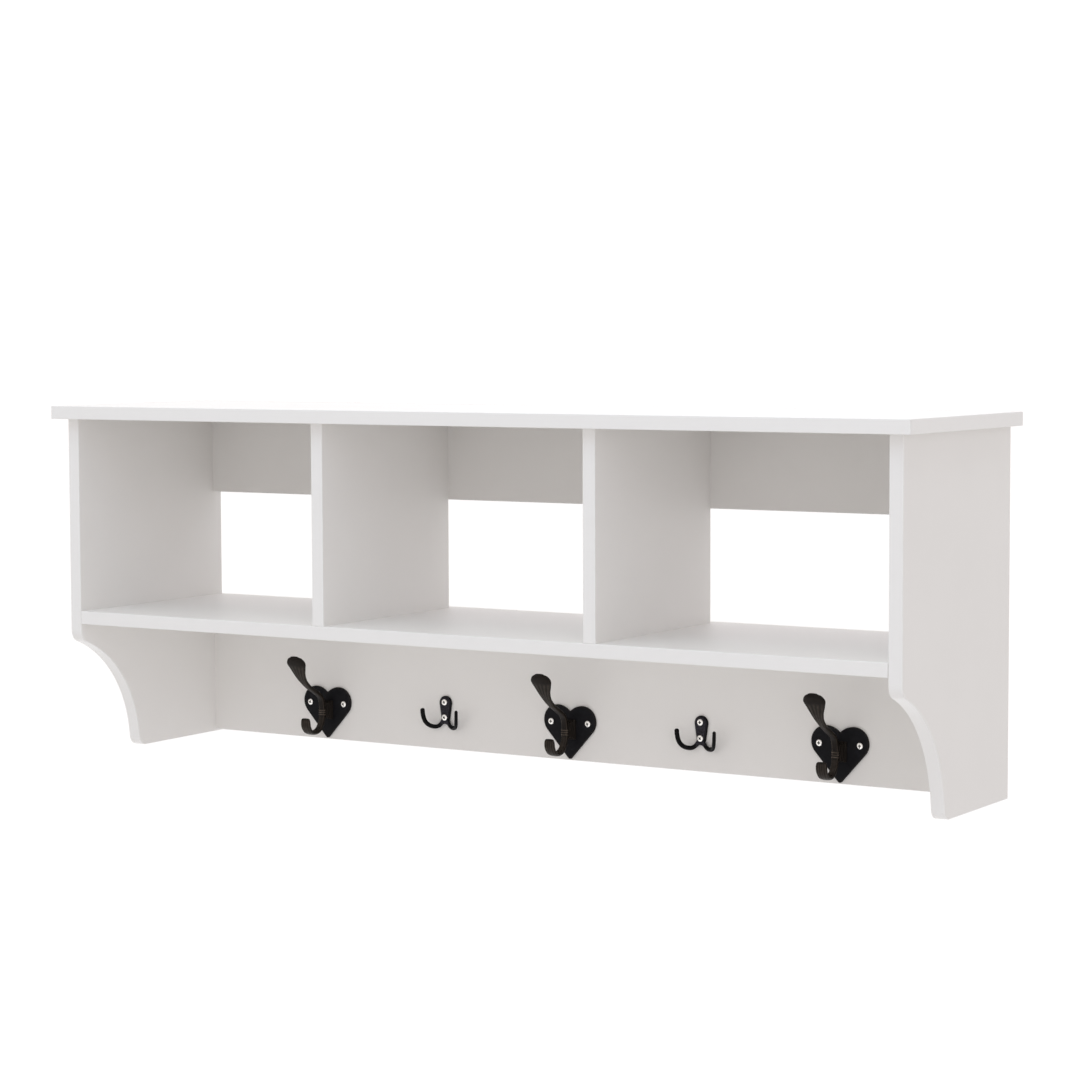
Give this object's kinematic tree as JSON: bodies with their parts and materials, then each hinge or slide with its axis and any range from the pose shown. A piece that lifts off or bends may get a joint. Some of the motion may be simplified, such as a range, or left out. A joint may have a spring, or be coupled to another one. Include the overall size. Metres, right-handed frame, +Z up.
{
  "type": "wall hook rack",
  "caption": "Wall rack with open storage cubbies under a flat top, scooped side brackets and a rail of heart-backed coat hooks alternating with small two-prong hooks.",
  "frame": {"origin": "midway between the two keyhole hangers, on the wall plane at the centre of their entry holes", "axes": "+X along the wall to the right as seen from the room, +Y into the wall, +Z up"},
  "size_m": [1.08, 0.276, 0.406],
  "materials": {
    "white_melamine": "satin white melamine on particle board",
    "white_edging": "satin white edging strip",
    "blackened_plate": "blue-black powder coat, fine texture",
    "oil_rubbed_casting": "brown-black, satin, lighter on worn ridges",
    "black_lacquer": "satin black lacquer on a small casting",
    "bright_screw": "bright nickel-plated steel",
    "zinc_plate": "zinc-plated pressed steel",
    "zinc_fitting": "zinc-plated",
    "beech": "bare fluted beech"
  },
  "bodies": {
    "root": {"top_panel": "white_melamine", "left_side_panel": "white_melamine", "right_side_panel": "white_melamine", "left_divider": "white_melamine", "right_divider": "white_melamine", "shelf_panel": "white_melamine", "upper_back_rail": "white_melamine", "lower_hook_rail": "white_melamine", "top_front_edging": "white_edging", "top_left_edging": "white_edging", "top_right_edging": "white_edging", "left_side_edging": "white_edging", "right_side_edging": "white_edging", "left_divider_edging": "white_edging", "right_divider_edging": "white_edging", "shelf_edging": "white_edging", "upper_back_rail_edging": "white_edging", "lower_hook_rail_edging": "white_edging", "left_heart_plate": "blackened_plate", "centre_heart_plate": "blackened_plate", "right_heart_plate": "blackened_plate", "left_heart_arm": "oil_rubbed_casting", "centre_heart_arm": "oil_rubbed_casting", "right_heart_arm": "oil_rubbed_casting", "left_double_hook": "black_lacquer", "right_double_hook": "black_lacquer", "heart_hook_screws": "bright_screw", "double_hook_screws": "bright_screw", "left_hanger_plate": "zinc_plate", "right_hanger_plate": "zinc_plate", "cam_locks": "zinc_fitting", "cam_bolts": "zinc_fitting", "case_screws": "zinc_fitting", "hanger_screws": "zinc_fitting", "wood_dowels": "beech"}
  },
  "joints": []
}
